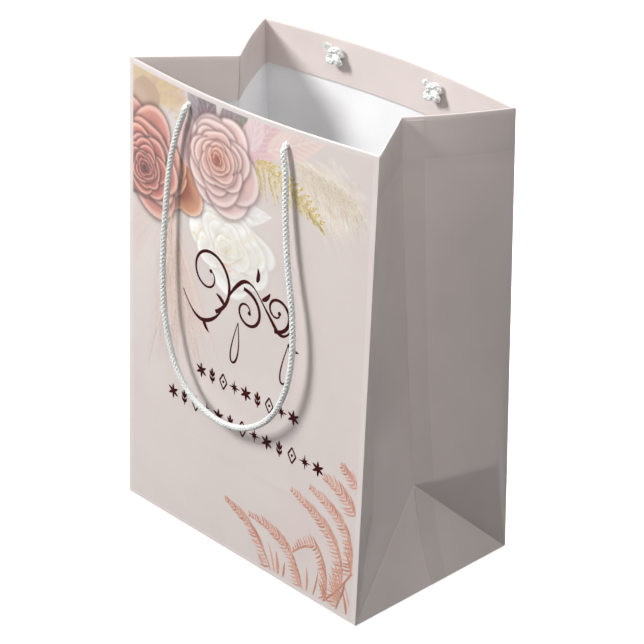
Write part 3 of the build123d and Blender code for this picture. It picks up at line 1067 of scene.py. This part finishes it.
def layer(builder, surface, rows, first, second, mats=0):
    """Closed thin solid between two heights above a surface, through rows of (across, up) places."""
    stations = []
    for a, t in rows:
        t = t + 0 * a
        stations.append(np.concatenate([surface(a, t, first + 0 * a), surface(a[::-1], t, second + 0 * a)]))
    builder.add(np.concatenate(stations), ring_faces(len(stations), 2 * len(a)), mats)


def make_seam(name, surface, materials):
    """Glued lap beside the right centre crease, seen as a raised band of doubled paper."""
    across = np.linspace(1 - SEAM / HALF_D, 0.998, 5)
    levels = np.linspace(PEAK_V + 0.5 * MM, HEIGHT - 2 * MM, 70)
    builder = Builder()
    layer(builder, surface, [(across, v) for v in levels], SEAM_LOW, PAPER + 0.2 * MM)
    return builder.finish(name, materials, 40)


def foot_surface(a, t, w):
    """Foot triangle: a runs across from -1 to 1, t from the base edge up to the peak."""
    base = np.array([HALF_W, 0, 0])
    rise = PEAK - base
    length = np.linalg.norm(rise)
    outward = np.array([rise[2], 0, -rise[0]]) / length
    dent = -2.2 * MM * (1 - np.abs(a)) ** 1.5 * np.sin(np.pi * np.clip(t, 0, 1)) ** 0.8
    place = base + rise * t[..., None] + np.stack([0 * t, HALF_D * (1 - t) * a, 0 * t], axis=-1)
    return place + outward * (w + dent)[..., None]


def make_foot(name, x_sign, materials, seam):
    """Triangle between the base's side edge and the diagonal creases, dented along its middle."""
    surface = mirrored(foot_surface, x_sign)
    across = np.linspace(-1, 1, 41)
    rows = [(across, t) for t in np.r_[0.004, np.linspace(0.04, 1, 30)]]
    skin = [0] * len(across) + [1] * (len(across) - 1) + [0]
    builder = Builder()
    layer(builder, surface, rows, PAPER, 0, skin * (len(rows) - 1) + [0, 0])
    if seam:
        levels = np.linspace(0.006, 0.97, 20)
        rows = [(np.linspace(0.0, min(SEAM / (HALF_D * (1 - t)), 0.9), 5), t) for t in levels]
        layer(builder, surface, rows, PAPER + 0.22 * MM, SEAM_LOW, 2)
    return builder.finish(name, materials, 40)


# ---------------- stage
def stage_piece(name, verts, faces, albedo, glow, reflected):
    """A floor or backdrop that casts no shadow, and lights the bag only in its gloss, if reflected."""
    mat, _, shader = base_material(name + "_pale", shade(WHITE, albedo), 0.7)
    shader.inputs["Emission Color"].default_value = (*WHITE, 1)
    shader.inputs["Emission Strength"].default_value = glow
    piece = new_object(name, verts, faces, [mat])
    piece.visible_diffuse = False
    piece.visible_glossy = reflected
    piece.visible_shadow = False


def make_stage():
    size, wall, under = 6.0, 5.0, -10 * MM
    corners = [(-size, -size), (size, -size), (size, size), (-size, size)]
    stage_piece("floor", [(x, y, 0) for x, y in corners], [[0, 1, 2, 3]], 0.93, 0.45, True)
    around = [(x, y, z) for z in (under, wall) for x, y in corners]
    sides = [[k, (k + 1) % 4, (k + 1) % 4 + 4, k + 4] for k in range(4)]
    stage_piece("backdrop", around, sides, 0.0, 0.92, False)


def make_world():
    """Soft surrounding light that comes mostly from above."""
    world = bpy.data.worlds.new("studio")
    bpy.context.scene.world = world
    world.use_nodes = True
    tree = world.node_tree
    way = node(tree, "ShaderNodeSeparateXYZ")
    tree.links.new(node(tree, "ShaderNodeTexCoord").outputs["Generated"], way.inputs[0])
    heights = ((0.0, 0.04), (0.6, 0.08), (0.85, 0.3), (1.0, 0.9))
    sky = ramp(tree, way.outputs["Z"], [(height, shade(WHITE, glow)) for height, glow in heights])
    tree.links.new(sky, tree.nodes["Background"].inputs["Color"])
    bpy.context.scene.view_settings.view_transform = "Standard"


# name, place, size and power of each light, all aimed at the middle of the bag
LIGHTS = [
    ("key", (-1.0, -1.83, 1.87), 0.9, 76),
    ("fill", (0.6, -0.6, 0.75), 0.6, 2.4),
    ("top", (0.35, 0.1, 0.9), 0.4, 2.8),
    ("rear", (-0.9, 1.7, 0.65), 1.0, 34),
]


def make_lights():
    target = Vector((0, 0, 140 * MM))
    for name, place, size, power in LIGHTS:
        data = bpy.data.lights.new(name, "AREA")
        data.shape = "DISK"
        data.size = size
        data.energy = power
        light = bpy.data.objects.new(name, data)
        bpy.context.scene.collection.objects.link(light)
        turn = (Vector(place) - target).to_track_quat("Z", "Y").to_matrix().to_4x4()
        light.matrix_world = Matrix.Translation(place) @ turn


# ---------------- the bag
def make_handles():
    cord = [cord_material()]
    for word, y_sign in (("front", 1), ("back", -1)):
        make_handle(word, y_sign, cord)
        for side, side_word in ((-1, "left"), (1, "right")):
            name = f"{word}_{side_word}_overhand_knot"
            knot = make_knot(name, side, y_sign, cord, 7 + side, KNOT_TURN[word], side < 0)
            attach(knot, f"{word}_wall")
            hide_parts(f"{word}_knot_{side_word}")


def paper_materials():
    return {
        "outside": paper_material("paper_blush", BLUSH, 0.42, 0.28),
        "lining": paper_material("paper_lining", LINING, 0.6),
        "doubled": paper_material("paper_doubled", shade(BLUSH, 0.93), 0.42, 0.28),
        # crease: the blush paper made lighter, a painted highlight for the bead along each gusset's centre
        # crease
        "crease": paper_material("paper_crease_highlight", shade(BLUSH, 1.12), 0.6, 0.28),
        "artwork": paper_material("paper_artwork", BLUSH, 0.4, printed="ink"),
    }


def make_walls(papers):
    """Front and back walls. Grids are in millimetres, and the front's is finest where its picture is."""
    side, top, crease = HALF_W / MM, HEIGHT / MM, HALF_D / MM
    edge = side - BORDER
    soft = BORDER_SOFT
    bottom, under_fold = 0.35, top - 0.9
    columns = [(-side, 0), (-edge - soft, 1), (-edge + soft, 0.5), (20, 0.56)]
    columns += [(edge - soft, 1.2), (edge + soft, 0.5), (side, 1)]
    rows = [(bottom, 0), (BORDER - soft, 1), (BORDER + soft, 0.5), (crease - 6, 2.5), (crease + 6, 0.8)]
    rows += [(90, 2.5), (163, 1.4), (top - BORDER - soft, 0.56), (top - BORDER + soft, 0.5)]
    grid = grid_lines(columns), grid_lines(rows + [(under_fold, 0.7)])
    skins = [papers["artwork"], papers["lining"]]
    front = make_wall("front_wall_sheet", front_surface, *grid, skins, paint_front)
    rows = [(bottom, 0), (crease - 6, 3), (crease + 6, 0.8), (under_fold, 3)]
    grid = grid_lines([(-side, 0), (side, 3)]), grid_lines(rows)
    skins = [papers["outside"], papers["lining"]]
    back = make_wall("back_wall_sheet", mirrored(front_surface, y=-1), *grid, skins)
    for wall, word in ((front, "front"), (back, "back")):
        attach(wall, f"{word}_wall")
        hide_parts(f"{word}_panel", f"{word}_hem")


def make_gussets(papers):
    # the fourth sheet, crease, is the lighter paper of the painted crease highlight
    sheets = [papers[key] for key in ("outside", "lining", "doubled", "crease")]
    for x_sign, side in ((1, "right"), (-1, "left")):
        for y_sign, word, bulge in ((1, "front", front_half_bulge), (-1, "back", back_half_bulge)):
            surface = mirrored(gusset_surface(bulge), x_sign, y_sign)
            half = make_half(f"{side}_gusset_{word}_sheet", surface, sheets, word == "front")
            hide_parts(f"{side}_gusset_{word}", f"{side}_gusset_{word}_hem")
            pieces = [half]
            if (side, word) == ("right", "back"):
                seam = make_seam("right_gusset_lap_seam", surface, [papers["doubled"]])
                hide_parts("lap_seam_flap")
                pieces.append(seam)
            for piece in pieces:
                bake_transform(piece)
        foot = make_foot(f"{side}_gusset_foot_sheet", x_sign, sheets[:3], side == "right")
        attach(foot, f"{side}_foot")
        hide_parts(f"{side}_gusset_foot")


def cover(material, *names):
    """Give nodes of the frame a material."""
    for name in names:
        slots = frame["nodes"][name].data.materials
        slots.clear()
        slots.append(material)


make_camera()
make_handles()
papers = paper_materials()
make_walls(papers)
print_front()
make_gussets(papers)
cover(card_material(), "front_top_card", "back_top_card", "base_card")
cover(papers["outside"], "base_outer_flap", "base_inner_flap", "left_base_side_flap", "right_base_side_flap")
make_stage()
make_world()
make_lights()
